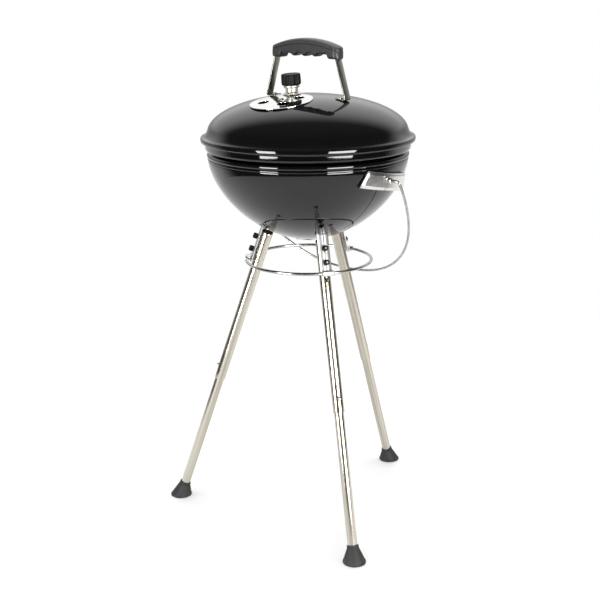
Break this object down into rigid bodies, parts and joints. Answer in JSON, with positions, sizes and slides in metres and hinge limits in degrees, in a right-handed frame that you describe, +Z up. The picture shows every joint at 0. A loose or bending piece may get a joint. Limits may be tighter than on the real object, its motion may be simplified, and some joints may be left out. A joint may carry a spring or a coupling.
{
  "type": "kettle charcoal grill",
  "caption": "Portable kettle charcoal grill with a domed lid, lid damper, bail handle, wire ring and telescopic splayed legs.",
  "frame": {"origin": "middle of the footprint on the ground, which is the bottom centre of the bounding box", "axes": "+Z up, +X through the two bail pivots to the right bracket, -Y the lid damper side, +Y the rear leg side"},
  "size_m": [0.4808, 0.4782, 0.8954],
  "materials": {
    "porcelain": "high-gloss black porcelain enamel",
    "chrome": "polished chrome plate",
    "tube_steel": "polished stainless tube with fine lengthwise grain",
    "bracket_steel": "bright stainless sheet, lightly brushed",
    "strap_steel": "dark satin steel",
    "grip_plastic": "moulded grey-black plastic, fine matt grain",
    "knob_plastic": "black moulded plastic, satin",
    "nut_plastic": "black moulded plastic",
    "foot_rubber": "dark grey rubber, matt",
    "grate_wire": "nickel-chromed wire",
    "spring_steel": "spring steel"
  },
  "bodies": {
    "kettle": {"bowl": "porcelain", "bowl_damper_rivet": "chrome", "grate_rest_1": "bracket_steel", "grate_rest_2": "bracket_steel", "grate_rest_3": "bracket_steel", "bail_bracket_left": "bracket_steel", "bail_bracket_right": "bracket_steel", "bail_ferrule_left": "chrome", "bail_ferrule_right": "chrome", "leg_bracket_front_left": "bracket_steel", "leg_bolt_upper_front_left": "chrome", "leg_bolt_lower_front_left": "chrome", "leg_nut_upper_front_left": "nut_plastic", "leg_nut_lower_front_left": "nut_plastic", "leg_plug_front_left": "nut_plastic", "upper_leg_front_left": "tube_steel", "ring_clip_front_left": "bracket_steel", "leg_bracket_front_right": "bracket_steel", "leg_bolt_upper_front_right": "chrome", "leg_bolt_lower_front_right": "chrome", "leg_nut_upper_front_right": "nut_plastic", "leg_nut_lower_front_right": "nut_plastic", "leg_plug_front_right": "nut_plastic", "upper_leg_front_right": "tube_steel", "ring_clip_front_right": "bracket_steel", "leg_bracket_rear": "bracket_steel", "leg_bolt_upper_rear": "chrome", "leg_bolt_lower_rear": "chrome", "leg_nut_upper_rear": "nut_plastic", "leg_nut_lower_rear": "nut_plastic", "leg_plug_rear": "nut_plastic", "upper_leg_rear": "tube_steel", "ring_clip_rear": "bracket_steel", "leg_ring": "chrome"},
    "lid": {"lid": "porcelain", "lid_damper_rivet": "chrome", "handle_grip": "grip_plastic", "handle_strap_left": "strap_steel", "handle_strap_right": "strap_steel", "strap_screw_left": "chrome", "strap_screw_right": "chrome"},
    "lid_damper": {"lid_damper": "chrome", "knob_pedestal": "chrome", "damper_knob": "knob_plastic"},
    "bowl_damper": {"bowl_damper": "chrome"},
    "cooking_grate": {"cooking_grate": "grate_wire"},
    "charcoal_grate": {"charcoal_grate": "grate_wire"},
    "bail": {"bail_wire": "chrome"},
    "lower_leg_front_left": {"lower_leg_front_left": "tube_steel", "foot_front_left": "foot_rubber"},
    "snap_clip_front_left": {"snap_clip_front_left": "spring_steel"},
    "lower_leg_front_right": {"lower_leg_front_right": "tube_steel", "foot_front_right": "foot_rubber"},
    "snap_clip_front_right": {"snap_clip_front_right": "spring_steel"},
    "lower_leg_rear": {"lower_leg_rear": "tube_steel", "foot_rear": "foot_rubber"},
    "snap_clip_rear": {"snap_clip_rear": "spring_steel"}
  },
  "joints": [
    {"name": "lid_lift", "type": "slide", "parent": "kettle", "child": "lid", "axis": [0, 0, 1], "range_m": [0, 0.4]},
    {"name": "cooking_grate_lift", "type": "slide", "parent": "kettle", "child": "cooking_grate", "axis": [0, 0, 1], "range_m": [0, 0.24]},
    {"name": "charcoal_grate_lift", "type": "slide", "parent": "kettle", "child": "charcoal_grate", "axis": [0, 0, 1], "range_m": [0, 0.16]},
    {"name": "lid_damper_turn", "type": "hinge", "parent": "lid", "child": "lid_damper", "pos_m": [0, -0.11615, 0.79222], "axis": [0, -0.1552, 0.9879], "range_deg": [0, 45]},
    {"name": "bowl_damper_turn", "type": "hinge", "parent": "kettle", "child": "bowl_damper", "pos_m": [0, -0.0441, 0.5318], "axis": [0, 0, 1], "range_deg": [0, 60]},
    {"name": "bail_swing", "type": "hinge", "parent": "kettle", "child": "bail", "pos_m": [0, -0.0441, 0.659], "axis": [1, 0, 0], "range_deg": [0, 149]},
    {"name": "leg_slide_front_left", "type": "slide", "parent": "kettle", "child": "lower_leg_front_left", "axis": [0.2711, 0.1764, 0.9463], "range_m": [0, 0.212]},
    {"name": "snap_press_front_left", "type": "slide", "parent": "lower_leg_front_left", "child": "snap_clip_front_left", "axis": [0.7931, 0.5162, -0.3234], "range_m": [0, 0.0045], "stiffness_N_per_m": 600, "deforming": ["snap_clip_front_left"]},
    {"name": "leg_slide_front_right", "type": "slide", "parent": "kettle", "child": "lower_leg_front_right", "axis": [-0.2711, 0.1764, 0.9463], "range_m": [0, 0.212]},
    {"name": "snap_press_front_right", "type": "slide", "parent": "lower_leg_front_right", "child": "snap_clip_front_right", "axis": [-0.7931, 0.5162, -0.3234], "range_m": [0, 0.0045], "stiffness_N_per_m": 600, "deforming": ["snap_clip_front_right"]},
    {"name": "leg_slide_rear", "type": "slide", "parent": "kettle", "child": "lower_leg_rear", "axis": [0, -0.3234, 0.9463], "range_m": [0, 0.212]},
    {"name": "snap_press_rear", "type": "slide", "parent": "lower_leg_rear", "child": "snap_clip_rear", "axis": [0, -0.9463, -0.3234], "range_m": [0, 0.0045], "stiffness_N_per_m": 600, "deforming": ["snap_clip_rear"]}
  ],
  "couplings": [
    {"joint": "cooking_grate_lift", "follows": "lid_lift", "ratio": 0.6},
    {"joint": "charcoal_grate_lift", "follows": "lid_lift", "ratio": 0.4}
  ]
}
